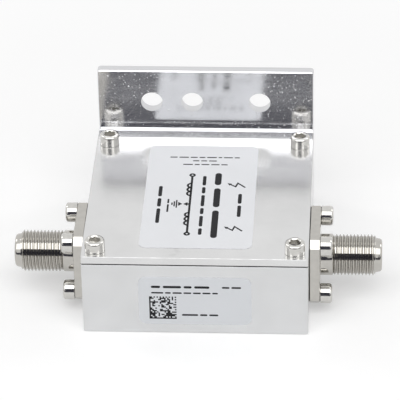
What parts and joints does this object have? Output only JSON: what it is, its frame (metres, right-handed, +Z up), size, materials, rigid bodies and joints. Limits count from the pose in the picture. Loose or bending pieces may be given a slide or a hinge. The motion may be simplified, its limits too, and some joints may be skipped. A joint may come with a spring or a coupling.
{
  "type": "coax lightning arrestor",
  "caption": "Square metal box that clamps surges on a coaxial line, with a flanged threaded jack on each side and an upright plate that bolts it to ground.",
  "frame": {"origin": "on the underside of the box, below the centre of its cover", "axes": "+X from the left jack to the right one, +Y from the front face to the grounding plate, +Z up"},
  "size_m": [0.0836, 0.0569, 0.0364],
  "materials": {
    "box_aluminium": "satin milled",
    "plate_metal": "bright plated, finely pitted",
    "jack_nickel": "bright nickel plate",
    "screw_steel": "bright turned",
    "insulator_white": "waxy",
    "contact_gold": "gold plated",
    "gasket_rubber": "matt, metal filled",
    "board_green": "solder resist",
    "tube_ceramic": "glazed ceramic",
    "coil_copper": "enamelled wire",
    "capacitor_ceramic": "sintered",
    "diode_moulding": "moulded",
    "label_film": "satin film",
    "label_foil": "silvered film"
  },
  "bodies": {
    "root": {"housing": "box_aluminium", "cover": "box_aluminium", "cover_gasket": "gasket_rubber", "cover_screws": "screw_steel", "grounding_plate": "plate_metal", "plate_screws": "screw_steel", "circuit_board": "board_green", "board_screws": "screw_steel", "gas_tube": "tube_ceramic", "surge_coil": "coil_copper", "equipment_coil": "coil_copper", "coupling_capacitor": "capacitor_ceramic", "clamp_diode": "diode_moulding", "top_label": "label_film", "front_label": "label_foil", "left_jack_body": "jack_nickel", "left_jack_insulator": "insulator_white", "left_jack_contact": "contact_gold", "left_jack_gasket": "gasket_rubber", "left_flange_screws": "screw_steel", "right_jack_body": "jack_nickel", "right_jack_insulator": "insulator_white", "right_jack_contact": "contact_gold", "right_jack_gasket": "gasket_rubber", "right_flange_screws": "screw_steel"}
  },
  "joints": []
}
